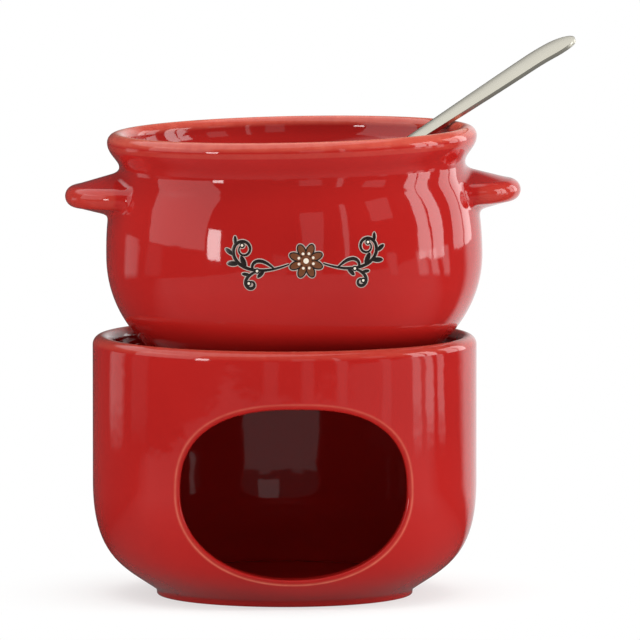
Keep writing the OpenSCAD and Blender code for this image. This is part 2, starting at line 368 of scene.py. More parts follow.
@dataclass(frozen=True)
class StampedSteel:
    """Stainless steel, stamped and then brushed along its length to a satin."""

    # A satin brushed metal: a soft warm grey sheen along the handle in place of clear reflections
    colour: str = "#cfccbf"
    dull: str = "#bfbbad"
    roughness: tuple[float, float] = (0.2, 0.36)
    # The real grain is about 0.05 mm wide, far under a pixel: it is drawn 0.9 mm wide to show
    grain_across: float = 0.9
    grain_along: float = 30.0
    grain_height: float = 0.0025
    cloud: float = 14.0

    def material(self) -> Material:
        """Warm grey metal with a fine grain along the fork, from the piece's own UV map.

        Returns:
            The material.
        """
        material, tree = new_material("satin_stainless_brushed")
        along = add(tree, "ShaderNodeUVMap", uv_map="grain")
        scale = (1 / (self.grain_along * MM), 1 / (self.grain_across * MM), 1.0)
        stretch = add(tree, "ShaderNodeMapping", {"Vector": along, "Scale": scale})
        grain = add(tree, "ShaderNodeTexNoise", {"Vector": stretch, "Scale": 1.0, "Detail": 4.0})
        cloud = add(tree, "ShaderNodeTexNoise", {"Vector": along, "Scale": 1 / (self.cloud * MM),
                                                 "Detail": 2.0})
        tint = add(tree, "ShaderNodeMix", {0: cloud, 6: linear(self.dull), 7: linear(self.colour)}, 2,
                   data_type="RGBA")
        rough = add(tree, "ShaderNodeMapRange", (grain, 0.0, 1.0, *self.roughness))
        bump = add(tree, "ShaderNodeBump", {"Height": grain, "Distance": self.grain_height * MM})
        shader = add(tree, "ShaderNodeBsdfPrincipled", {"Base Color": tint, "Metallic": 1.0,
                                                        "Roughness": rough, "Normal": bump})
        add(tree, "ShaderNodeOutputMaterial", {"Surface": shader})
        return material


class MeshDraft:
    """Points and faces of one piece while it is drawn, in millimetres."""

    def __init__(self) -> None:
        """Starts with no points."""
        self.points: list[np.ndarray] = []
        self.thin: list[np.ndarray] = []
        self.count = 0
        self.faces: list[tuple[int, ...]] = []
        self.bare: list[int] = []

    def put(self, points: np.ndarray, thin: np.ndarray | float = 0.0) -> np.ndarray:
        """Adds points.

        Args:
            points: An array of points, in any layout that ends in x, y, z.
            thin: How far the glaze thinned at each, with the highlight painted there, from 0 to 1.

        Returns:
            The numbers of the points, in the same layout.
        """
        layout = points.shape[:-1]
        number = int(np.prod(layout))
        self.points.append(points.reshape(-1, 3))
        self.thin.append(np.broadcast_to(thin, layout).reshape(-1).astype(float))
        self.count += number
        return np.arange(self.count - number, self.count).reshape(layout)

    def sheet(self, grid: np.ndarray, skip: np.ndarray | None = None, bare: bool = False) -> None:
        """Adds faces between neighbouring rows of a grid that closes on itself sideways.

        Args:
            grid: Point numbers, rows by columns.
            skip: True where a face is left out, one row fewer than the grid.
            bare: True for faces of unglazed clay.
        """
        right = np.roll(grid, -1, axis=1)
        quads = np.stack([grid[:-1], right[:-1], right[1:], grid[1:]], axis=-1)
        chosen = quads.reshape(-1, 4) if skip is None else quads[~skip]
        self.faces += [tuple(q) for q in chosen.tolist()]
        self.bare += [int(bare)] * len(chosen)

    def fan(self, ring: np.ndarray, centre: int) -> None:
        """Closes a ring of points to its centre."""
        self.faces += [(int(a), int(b), centre) for a, b in zip(ring, np.roll(ring, -1))]
        self.bare += [0] * len(ring)

    def build(self, name: str, finishes: list[Material],
              place: Callable[[np.ndarray], np.ndarray] | None = None) -> Object:
        """Makes the object.

        Args:
            name: The piece's name.
            finishes: The glaze and the bare clay.
            place: Moves the points from the piece's own frame to the model's.

        Returns:
            The linked object, at the origin.
        """
        points = np.vstack(self.points)
        points = (place(points) if place else points) * MM
        mesh = bpy.data.meshes.new(name)
        mesh.from_pydata(points.tolist(), [], self.faces)
        for finish in finishes:
            mesh.materials.append(finish)
        mesh.polygons.foreach_set("use_smooth", [True] * len(mesh.polygons))
        mesh.polygons.foreach_set("material_index", self.bare)
        # Per point: how far the glaze thinned on an edge and how much highlight is painted there
        mesh.attributes.new("thin", "FLOAT", "POINT").data.foreach_set("value", np.concatenate(self.thin))
        mesh.update()
        return in_scene(name, mesh)


class HalfSection:
    """Half section of a turned piece: a fine line of points and the rows picked from it."""

    CREST_WIDTH = 0.11
    FULL_SHARE = 2.4

    def __init__(self, start: tuple[float, float]) -> None:
        """Starts on the axis.

        Args:
            start: Radius and height of the first point.
        """
        self.line = np.array([start], float)
        self.rows = [0]
        self.thin = [0.0]

    def run(self, points: Line, rows: int, thin: float = 0.0, crest: float = 0.0) -> Rows:
        """Carries the section on along a line of points.

        Args:
            points: Radius and height of each, starting where the section ends.
            rows: How many rows of the mesh it gets.
            thin: How far the glaze thinned over the middle of the run, with a painted highlight.
            crest: How much thinner it is on the very crest, where the painted highlight is brightest.

        Returns:
            The numbers of its first and last row.
        """
        line = joined(points)
        s = arc_length(line)
        at = np.linspace(0, s[-1], rows * ROW_DETAIL + 1)[1:]
        fresh = np.column_stack([np.interp(at, s, line[:, k]) for k in (0, 1)])
        first, start = len(self.rows) - 1, len(self.line) - 1
        self.line = np.vstack([self.line, fresh])
        self.rows += [start + ROW_DETAIL * (i + 1) for i in range(rows)]
        share = (np.arange(rows) + 1) / rows
        peak = crest * np.exp(-((share - 0.5) / self.CREST_WIDTH) ** 2)
        spread = np.minimum(1, self.FULL_SHARE * np.sin(math.pi * share))
        self.thin += np.clip(thin * spread + peak, 0, 1).tolist()
        return first, len(self.rows) - 1

    def measure(self) -> None:
        """Works out the distance along the finished section."""
        self.way = arc_length(self.line)

    def at(self, way: np.ndarray) -> tuple[np.ndarray, np.ndarray]:
        """Radius and height at a distance along the section."""
        return np.interp(way, self.way, self.line[:, 0]), np.interp(way, self.way, self.line[:, 1])

    def way_at_height(self, height: np.ndarray, first: int, last: int) -> np.ndarray:
        """Finds the distance along the section where it has a height.

        Args:
            height: The heights.
            first: Row where a stretch starts that only rises or falls.
            last: Row where it ends.

        Returns:
            The distances.
        """
        part = slice(self.rows[first], self.rows[last] + 1)
        z, way = self.line[part, 1], self.way[part]
        order = np.argsort(z, kind="stable")
        return np.interp(height, z[order], way[order])


@dataclass(frozen=True)
class FootRing:
    """The ground ring that a glazed piece stands on, with softened corners."""

    width: float
    flat: float
    height: float
    soft: float
    toe: float
    under_rows: int
    flat_rows: int
    recess: float = 3.0

    def run(self, section: HalfSection, side: np.ndarray) -> Rows:
        """Runs a section from the axis under the piece, round the ring and onto its side.

        Args:
            section: The half section, which starts on the axis at the ring's height.
            side: The start of the outside.

        Returns:
            The numbers of the first and last row of the bare flat.
        """
        outer, inner, low, soft = self.width / 2, self.width / 2 - self.flat, self.height, self.soft
        near, half, two = inner - self.recess, low / 2, 2 * soft
        section.run([(0, low), (near, low)], 6)
        section.run(soft_corner([(near, low), (inner, low)], [(inner, low), (inner, half)], soft),
                    self.under_rows)
        section.run(soft_corner([(inner, half), (inner, 0)], [(inner, 0), (inner + two, 0)], soft), 6)
        bare = section.run([(inner + two, 0), (outer - two, 0)], self.flat_rows)
        section.run(soft_corner([(outer - two, 0), (outer, 0)], [(outer, 0), (outer, half)], soft), 6)
        section.run(soft_corner([(outer, half), (outer, low)], side, self.toe), 6)
        return bare


class TurnedBody:
    """A half section turned round its axis, with windows left out for what is stitched in."""

    def __init__(self, draft: MeshDraft, section: HalfSection, columns: int) -> None:
        """Puts the points of every row.

        Args:
            draft: The mesh that gets the points.
            section: The half section, from the axis underneath to the axis inside.
            columns: Points round each row.
        """
        self.draft, self.section, self.columns = draft, section, columns
        section.measure()
        turns = 2 * math.pi * np.arange(columns) / columns
        r, z = section.line[section.rows[1:-1]].T
        grid = on_round(np.tile(turns, (len(r), 1)), r[:, None], z[:, None])
        self.grid = draft.put(grid, np.array(section.thin[1:-1])[:, None])
        self.skip = np.zeros((len(r) - 1, columns), bool)

    def window(self, low: int, high: int, left: int, right: int) -> Window:
        """Leaves a window out of the wall.

        Args:
            low: Row of its lower edge.
            high: Row of its upper edge.
            left: Column of its left edge, seen from outside.
            right: Column of its right edge.

        Returns:
            Point numbers, turns and distances along the section, counter-clockwise from the
            lower left corner.
        """
        step = 1 if high > low else -1
        across = list(range(left, right + 1))
        upright = list(range(low, high + step, step))
        row = [low] * len(across) + upright[1:] + [high] * (len(across) - 1) + upright[-2:0:-1]
        column = across + [right] * (len(upright) - 1) + across[-2::-1] + [left] * (len(upright) - 2)
        row, column = np.array(row) - 1, np.array(column)
        bottom, top = min(low, high) - 1, max(low, high) - 1
        for k in range(left, right):
            self.skip[bottom:top, k % self.columns] = True
        way = self.section.way[np.array(self.section.rows)[row + 1]]
        return self.grid[row, column % self.columns], 2 * math.pi * column / self.columns, way

    def close(self, bare_rows: Rows) -> None:
        """Adds all faces of the wall and closes it at the axis.

        Args:
            bare_rows: First and last row of the unglazed foot.
        """
        low, high = bare_rows[0] - 1, bare_rows[1] - 1
        for first, last, bare in ((0, low, False), (low, high, True), (high, len(self.grid) - 1, False)):
            self.draft.sheet(self.grid[first:last + 1], self.skip[first:last], bare)
        under, inside = self.section.line[[0, -1], 1]
        poles = self.draft.put(np.array([[0, 0, under], [0, 0, inside]]))
        self.draft.fan(self.grid[0][::-1], int(poles[0]))
        self.draft.fan(self.grid[-1], int(poles[1]))


@dataclass
class FrontOpening:
    """The oval opening in the base, with its rolled edge inside and out."""

    width: float = 65.0
    height: float = 50.6
    middle: float = 31.8
    roll: float = 1.8
    inner_roll: float = 1.3
    upper_power: float = 2.5
    lower_power: float = 2.1
    face_steps: int = 15
    edge_steps: int = 18
    roll_steps: int = 8
    inner_steps: int = 6
    # The glaze ran thin along the outer roll, in ring 1 of the edge, and more so at the bottom
    # That pale line is partly a painted highlight, strongest at the bottom of the opening
    crest: float = 1.0
    crest_width: float = 0.8
    crest_thin_and_sheen: float = 0.5

    def outline(self, a: np.ndarray, grow: float) -> tuple[np.ndarray, np.ndarray]:
        """Outline of the clear way through the wall, seen from the front.

        Args:
            a: Angles round it.
            grow: How far it is grown outwards.

        Returns:
            Sideways place and height of each point.
        """
        c, s = np.cos(a), np.sin(a)
        power = 2 / np.where(s < 0, self.lower_power, self.upper_power)
        x = np.sign(c) * np.abs(c) ** power * (self.width / 2 - self.roll + grow)
        z = np.sign(s) * np.abs(s) ** power * (self.height / 2 - self.roll + grow)
        return x, self.middle + z

    def meet(self, body: TurnedBody, rim: Window, rows: Rows, grow: float,
             upwards: float) -> tuple[np.ndarray, np.ndarray]:
        """Finds where on the outline each point of a window's frame is led to.

        Args:
            body: The turned wall.
            rim: The window's frame.
            rows: First and last row of the stretch that holds the outline.
            grow: Growth of the outline on this face.
            upwards: 1 where the section rises along its way, or -1.

        Returns:
            Angles round the outline, and the turn and way of each of those points.
        """
        _, turn, way = rim
        a = np.linspace(-math.pi, math.pi, 1441)
        x, z = self.outline(a, grow)
        edge_way = body.section.way_at_height(z, *rows)
        edge_radius = body.section.at(edge_way)[0]
        edge_turn, radius = np.arcsin(x / edge_radius), edge_radius.mean()
        middle = body.section.way_at_height(np.array([self.middle]), *rows)[0]
        seen = np.unwrap(np.arctan2(upwards * (edge_way - middle), radius * edge_turn))
        seen -= seen[len(seen) // 2]
        wanted = np.arctan2(upwards * (way - middle), radius * turn)
        angle = np.interp(wanted, seen, a)
        return angle, np.stack([np.interp(angle, a, edge_turn), np.interp(angle, a, edge_way)])

    def stitch(self, body: TurnedBody, outer: Window, inner: Window, outer_rows: Rows,
               inner_rows: Rows) -> None:
        """Fills the two windows of the wall round the opening and joins them by its edge.

        Args:
            body: The turned wall.
            outer: Frame of the window in the outside.
            inner: Frame of the window in the chamber's wall.
            outer_rows: Rows of the outside that hold the outline.
            inner_rows: Rows of the chamber that hold it.
        """
        section, draft = body.section, body.draft
        out_angle, out_edge = self.meet(body, outer, outer_rows, self.roll, 1.0)
        in_angle, in_edge = self.meet(body, inner, inner_rows, self.inner_roll, -1.0)
        drift = (in_angle - out_angle + math.pi) % (2 * math.pi) - math.pi
        steps = np.arange(1, self.face_steps) / self.face_steps
        rings = []
        for share in 1 - (1 - steps) ** 1.7:
            turn, way = (1 - share) * np.stack(outer[1:]) + share * out_edge
            rings.append(on_round(turn, *section.at(way)))
        for i in range(self.edge_steps + 1):
            angle = out_angle + drift * i / self.edge_steps
            rings.append(self.edge_ring(section, angle, i, outer_rows, inner_rows))
        for share in steps ** 1.5:
            turn, way = share * np.stack(inner[1:]) + (1 - share) * in_edge
            rings.append(on_round(turn, *section.at(way)))
        off = (np.arange(self.edge_steps + 1) - self.crest) / self.crest_width
        # Pale line along the edge: thinned glaze and a painted highlight, strongest at the bottom
        thin = np.pad(self.crest_thin_and_sheen * np.exp(-off ** 2), self.face_steps - 1)
        fade = 0.7 - 0.3 * np.sin(out_angle)
        grid = draft.put(np.array(rings), thin[:, None] * fade)
        draft.sheet(np.vstack([outer[0], grid, inner[0]]))

    def face(self, section: HalfSection, angle: np.ndarray, grow: float, depth: float,
             rows: Rows) -> np.ndarray:
        """Points on the outline at a depth under one face of the wall.

        Args:
            section: The base's half section.
            angle: Angles round the outline.
            grow: Growth of the outline.
            depth: How far under the face they lie.
            rows: Rows of the face that hold the outline.

        Returns:
            The points.
        """
        x, z = self.outline(angle, grow)
        r = section.at(section.way_at_height(z, *rows))[0]
        return np.stack([x, -np.sqrt((r - depth) ** 2 - x * x), z], axis=-1)

    def edge_ring(self, section: HalfSection, angle: np.ndarray, i: int, outer_rows: Rows,
                  inner_rows: Rows) -> np.ndarray:
        """One ring of the edge: the outer roll, the straight part or the inner roll.

        Args:
            section: The base's half section.
            angle: Angles round the outline.
            i: Number of the ring.
            outer_rows: Rows of the outside that hold the outline.
            inner_rows: Rows of the chamber that hold it.

        Returns:
            The ring's points.
        """
        if i <= self.roll_steps:
            bend = math.pi / 2 * i / self.roll_steps
            return self.face(section, angle, self.roll * (1 - math.sin(bend)),
                             self.roll * (1 - math.cos(bend)), outer_rows)
        if i >= self.edge_steps - self.inner_steps:
            bend = math.pi / 2 * (self.edge_steps - i) / self.inner_steps
            ring = self.face(section, angle, self.inner_roll * (1 - math.sin(bend)), 0.0, inner_rows)
            ring[:, 1] -= self.inner_roll * (1 - math.cos(bend))
            return ring
        share = (i - self.roll_steps) / (self.edge_steps - self.inner_steps - self.roll_steps)
        start = self.face(section, angle, 0.0, self.roll, outer_rows)
        end = self.face(section, angle, 0.0, 0.0, inner_rows)
        end[:, 1] -= self.inner_roll
        return start + share * (end - start)


@dataclass
class WarmerBase:
    """The candle base: one fired piece with a foot ring, a shelf inside and a front opening."""

    width: float = 104.98
    height: float = 71.0
    wall: float = 5.0
    foot: FootRing = FootRing(70.0, 6.0, 1.4, 0.45, 0.45, 7, 6)
    belly: float = 31.0
    shelf: float = 62.0
    shelf_thick: float = 4.2
    heat_hole: float = 48.0
    fillet: float = 5.0
    floor_corner: float = 2.5
    # How pale the rim and the heat hole's edge are: thinned glaze and a painted highlight
    rim_thin_and_sheen: tuple[float, float] = (0.12, 0.2)
    hole_thin_and_sheen: float = 0.3
    window_low: float = 3.2
    window_high: float = 65.5
    window_rows: int = 42
    window_columns: int = 34
    columns: int = 192
    opening: FrontOpening = field(default_factory=FrontOpening)

    def outside(self) -> np.ndarray:
        """Draws the lower curve of the outside, from the foot to the straight wall.

        Returns:
            Radius and height of its points.
        """
        foot, half, low = self.foot.width / 2, self.width / 2, self.foot.height
        rise = self.belly - low
        return bezier((foot, low), (foot + 0.51 * (half - foot), low + 0.21 * rise),
                      (half, low + 0.29 * rise), (half, self.belly))

    def build(self, glaze: Material, clay: Material) -> Object:
        """Turns the base and stitches the opening into it.

        Args:
            glaze: The red glaze.
            clay: The bare clay of the foot.

        Returns:
            The piece.
        """
        half, inner, lip, fill = self.width / 2, self.width / 2 - self.wall, self.wall / 2, self.fillet
        side = self.outside()
        chamber = moved_left(side, self.wall)
        floor, floor_edge = float(chamber[0][1]), self.foot.width / 2 - 8
        ceiling, edge = self.shelf - self.shelf_thick, self.shelf_thick / 2
        hole, near = self.heat_hole / 2 + edge, (inner - fill - 5, ceiling)
        toe = int(np.searchsorted(side[:, 1], self.window_low))
        s = HalfSection((0, self.foot.height))
        bare = self.foot.run(s, side[:toe + 1])
        outer = s.run(joined(side[toe:], [(half, self.window_high)]), self.window_rows)
        s.run([(half, self.window_high), (half, self.height - lip)], 3)
        s.run(arc((half - lip, self.height - lip), lip, 0, 180), 18, *self.rim_thin_and_sheen)
        s.run(joined([(inner, self.height - lip)], arc((inner - fill, self.shelf + fill), fill, 0, -90)), 9)
        s.run([(inner - fill, self.shelf), (hole, self.shelf)], 6)
        s.run(arc((hole, self.shelf - edge), edge, 90, 270), 10, self.hole_thin_and_sheen)
        s.run([(hole, ceiling), near], 4)
        wall_down = joined([near], arc((inner - fill, ceiling - fill), fill, 90, 0), chamber[::-1])
        floor_line = [(float(chamber[0][0]), floor), (floor_edge, floor)]
        chamber_rows = s.run(soft_corner(wall_down, floor_line, self.floor_corner), self.window_rows)
        s.run([(floor_edge, floor), (0, floor)], 8)
        draft = MeshDraft()
        body = TurnedBody(draft, s, self.columns)
        reach = self.window_columns
        outer_frame = body.window(*outer, -reach, reach)
        inner_frame = body.window(chamber_rows[1], chamber_rows[0], -reach, reach)
        self.opening.stitch(body, outer_frame, inner_frame, outer, chamber_rows)
        body.close(bare)
        piece = draft.build("base_glazed", [glaze, clay])
        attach(piece, Body.BASE.value)
        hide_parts("warmer_base")
        return piece


@dataclass
class Ear:
    """One solid ear of the bowl: a round tab that thins outwards and ends in a soft edge."""

    centre: float = 43.3
    radius: float = 19.0
    height: float = 47.6
    drop: float = 1.1
    root: float = 10.4
    tip: float = 6.0
    run_out: float = 2.6
    bowl_radius: float = 51.4
    # Half width and half height of the oval on the wall from which the ear is drawn
    root_half: float = 24.5
    root_rise: float = 9.8
    root_steps: int = 6
    tab_steps: int = 20
    even_rounds: int = 14
    # How pale the tab's outer front edge is: thinned glaze and a painted highlight
    thin: float = 0.08

    def at_side(self, side: int) -> "Ear":
        """The ear of one side: the right one sits a little lower."""
        return replace(self, height=self.height - self.drop) if side > 0 else self

    def distance(self, p: np.ndarray, wall: WallRadius) -> np.ndarray:
        """Signed distance to the bowl's wall and the ear, flowing into each other.

        Args:
            p: Points in the ear's frame, with the ear towards +X.
            wall: Gives the wall's outer radius at a height.

        Returns:
            The distances, negative inside.
        """
        edge = self.tip / 2
        reach = self.radius - edge
        slope = (self.root / 2 - edge) / (reach - (self.bowl_radius - self.centre))
        rho = np.hypot(p[..., 0] - self.centre, p[..., 1])
        thick = edge + slope * (reach - np.minimum(rho, reach))
        tab = np.hypot(np.maximum(rho - reach, 0), p[..., 2] - self.height) - thick
        bowl = np.hypot(p[..., 0], p[..., 1]) - wall(p[..., 2])
        near = np.maximum(self.run_out - np.abs(tab - bowl), 0) / self.run_out
        return np.minimum(tab, bowl) - near * near * near * self.run_out / 6

    def settle(self, p: np.ndarray, wall: WallRadius, times: int) -> np.ndarray:
        """Moves points onto the surface along its slope.

        Args:
            p: The points.
            wall: Gives the wall's outer radius at a height.
            times: How often they are moved.

        Returns:
            The moved points.
        """
        for _ in range(times):
            f = self.distance(p, wall)
            slope = np.stack([(self.distance(p + d, wall) - self.distance(p - d, wall)) / 0.04
                              for d in np.eye(3) * 0.02], axis=-1)
            p = p - (f / np.maximum((slope ** 2).sum(-1), 0.2))[..., None] * slope
        return p

    def rings(self, body: TurnedBody, window: Window, wall: WallRadius) -> tuple[np.ndarray, np.ndarray]:
        """Draws the ear as rings from its window to its tip, with the ear towards +X.

        Args:
            body: The turned bowl.
            window: Frame of the window.
            wall: Gives the wall's outer radius at a height.

        Returns:
            The rings' points, and the angle of each column round the ear's root.
        """
        _, turn, way = window
        section, height = body.section, body.section.at(way)[1]
        around = turn - (turn.min() + turn.max()) / 2
        radius = float(wall(np.array([self.height]))[0])
        order = np.argsort(height)
        middle = float(np.interp(self.height, height[order], way[order]))
        phi = np.arctan2((way - middle) / self.root_rise, radius * around / self.root_half)
        rings = []
        for share in 1 - (1 - np.arange(1, self.root_steps + 1) / self.root_steps) ** 1.4:
            a = (1 - share) * around + share * self.root_half * np.cos(phi) / radius
            w = (1 - share) * way + share * (middle + self.root_rise * np.sin(phi))
            r, z = section.at(w)
            rings.append(np.stack([r * np.cos(a), r * np.sin(a), z], axis=-1))
        start, tab = np.radians(88 - 12 * np.sin(phi) ** 2), []
        for share in np.linspace(0, 1, self.tab_steps):
            a = start * (1 - share) + math.radians(4) * share
            tab.append(np.stack([self.centre + (self.radius - 0.2) * np.cos(a),
                                 self.radius * np.sin(a) * np.cos(phi),
                                 self.height + 6 * np.sin(a) * np.sin(phi)], axis=-1))
        root = rings[-1]
        rings += [root + share * (tab[0] - root) for share in (0.2, 0.4, 0.6, 0.8)]
        grid = self.settle(np.array(rings + tab), wall, 6)
        for _ in range(self.even_rounds):
            even = grid.copy()
            even[1:-1] = (grid[2:] + grid[:-2] + np.roll(grid, 1, 1)[1:-1] + np.roll(grid, -1, 1)[1:-1]) / 4
            even[:2] = grid[:2]
            grid = self.settle(even, wall, 2)
        return grid, phi

    def stitch(self, body: TurnedBody, window: Window, side: int, wall: WallRadius) -> None:
        """Fills a window of the bowl's wall with the ear.

        Args:
            body: The turned bowl.
            window: Frame of the window.
            side: 1 for the right ear and -1 for the left one.
            wall: Gives the wall's outer radius at a height.
        """
        draft = body.draft
        grid, phi = self.rings(body, window, wall)
        rho = np.hypot(grid[..., 0] - self.centre, grid[..., 1])
        # Paler outer front edge of the tab: thinned glaze and a painted highlight
        thin = self.thin * np.clip((rho - self.radius + 2.6) / 2.2, 0, 1) * (grid[..., 0] > self.centre + 6)
        rows = draft.put(grid * np.array([side, side, 1]), thin)
        draft.sheet(np.vstack([window[0], rows]))
        count, right = len(phi), int(np.argmin(np.abs(phi)))
        top, low = ([rows[-1][(right + way * m) % count] for m in range(count // 2 + 1)] for way in (1, -1))
        for m in range(count // 2):
            corners = (low[m + 1], low[m], top[m], top[m + 1])
            draft.faces.append(tuple(dict.fromkeys(int(c) for c in corners)))
            draft.bare.append(0)
        LOG.info("ear on side %d: %d rings", side, len(grid))


@dataclass
class FondueBowl:
    """The loose bowl: foot, belly, drawn-in neck, rounded lip that turns out, and two ears."""

    width: float = 102.8
    height: float = 64.4
    wall: float = 4.2
    foot: FootRing = FootRing(67.2, 4.5, 0.8, 0.35, 0.4, 6, 5)
    belly: float = 30.0
    neck: float = 54.6
    neck_in: float = 4.2
    lip_out: float = 3.3
    lip: float = 5.2
    shift: float = 3.3
    lean: float = 1.2
    seat: float = 62.2
    toe_height: float = 3.0
    floor_corner: float = 2.5
    # How pale the neck and the lip are: thinned glaze and a painted highlight, brightest on the lip's crest
    neck_thin_and_sheen: float = 0.08
    lip_thin_and_sheen: tuple[float, float] = (0.26, 0.5)
    ear_low: float = 35.0
    ear_high: float = 60.0
    ear_columns: int = 19
    columns: int = 192
    ear: Ear = field(default_factory=Ear)

    def place(self, points: np.ndarray) -> np.ndarray:
        """Moves points from the bowl's own frame to where the loose bowl stands.

        Args:
            points: The points.

        Returns:
            The moved points.
        """
        a = math.radians(self.lean)
        x, y, z = points.T
        up = self.seat + self.foot.width / 2 * math.sin(a)
        return np.column_stack([x * math.cos(a) - z * math.sin(a) + self.shift, y,
                                x * math.sin(a) + z * math.cos(a) + up])

    def outside(self) -> np.ndarray:
        """Draws the outside from the foot to the neck.

        Returns:
            Radius and height of its points.
        """
        foot, half, low, belly = self.foot.width / 2, self.width / 2, self.foot.height, self.belly
        rise, neck_r, up = belly - low, half - self.neck_in, self.neck - belly
        lower = bezier((foot, low), (foot + 0.205 * (half - foot), low + 0.056 * rise),
                       (half, low + 0.384 * rise), (half, belly))
        shoulder = bezier((half, belly), (half, belly + 0.77 * up), (neck_r, belly + 0.81 * up),
                          (neck_r, self.neck))
        return joined(lower, shoulder)

    def flare(self, start: float, end: float) -> np.ndarray:
        """Draws one side of the wall between the neck and the lip.

        Args:
            start: Its radius at the neck.
            end: Its radius at the lip.

        Returns:
            Radius and height of its points.
        """
        rise = self.height - self.lip / 2 - self.neck
        return bezier((start, self.neck), (start, self.neck + 0.35 * rise),
                      (end, self.neck + 0.55 * rise), (end, self.neck + rise))

    def build(self, glaze: Material, clay: Material) -> Object:
        """Turns the bowl and stitches its ears on.

        Args:
            glaze: The red glaze.
            clay: The bare clay of the foot.

        Returns:
            The piece.
        """
        neck_r, lip_r = self.width / 2 - self.neck_in, self.lip / 2
        ring = neck_r + self.lip_out - lip_r
        outside = self.outside()
        inside = moved_left(outside, self.wall)
        floor, floor_edge = float(inside[0][1]), self.foot.width / 2 - 9
        up = joined(outside, self.flare(neck_r, neck_r + self.lip_out))
        toe, first, last = (int(np.searchsorted(up[:, 1], height))
                            for height in (self.toe_height, self.ear_low, self.ear_high))
        s = HalfSection((0, self.foot.height))
        bare = self.foot.run(s, up[:toe + 1])
        s.run(up[toe:first + 1], 26)
        ears = s.run(up[first:last + 1], 24)
        s.run(up[last:], 6, self.neck_thin_and_sheen)
        s.run(arc((ring, self.height - lip_r), lip_r, 0, 180), 20, *self.lip_thin_and_sheen)
        down = joined(self.flare(neck_r - self.wall, ring - lip_r)[::-1], inside[::-1])
        floor_line = [(float(inside[0][0]), floor), (floor_edge, floor)]
        s.run(soft_corner(down, floor_line, self.floor_corner), 48)
        s.run([(floor_edge, floor), (0, floor)], 9)
        draft = MeshDraft()
        body = TurnedBody(draft, s, self.columns)

        def wall_radius(z: np.ndarray) -> np.ndarray:
            """Outer radius of the wall at a height."""
            return np.interp(z, up[:, 1], up[:, 0])

        for side in (1, -1):
            middle = side * self.columns // 4
            window = body.window(*ears, middle - self.ear_columns, middle + self.ear_columns)
            self.ear.at_side(side).stitch(body, window, side, wall_radius)
        body.close(bare)
        piece = draft.build("bowl_glazed", [glaze, clay], self.place)
        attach(piece, Body.BOWL.value)
        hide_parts("fondue_bowl")
        return piece


class Blank:
    """The flat blank of the fork while it is drawn, as rows of points along and across."""

    def __init__(self) -> None:
        """Starts with no points."""
        self.points: list[tuple[float, float]] = []
        self.faces: list[tuple[int, ...]] = []

    def row(self, along: np.ndarray | float, across: np.ndarray) -> list[int]:
        """Adds a row of points.

        Args:
            along: Distance from the tips, of each point or of all.
            across: Distance of each from the middle line.

        Returns:
            The numbers of the points.
        """
        start = len(self.points)
        self.points.extend(zip(np.broadcast_to(along, across.shape).tolist(), across.tolist()))
        return list(range(start, len(self.points)))

    def strip(self, a: list[int], b: list[int]) -> list[int]:
        """Adds faces between two rows, the first nearer to the tips, and hands back the second."""
        self.faces.extend((a[i], b[i], b[i + 1], a[i + 1]) for i in range(len(a) - 1))
        return b


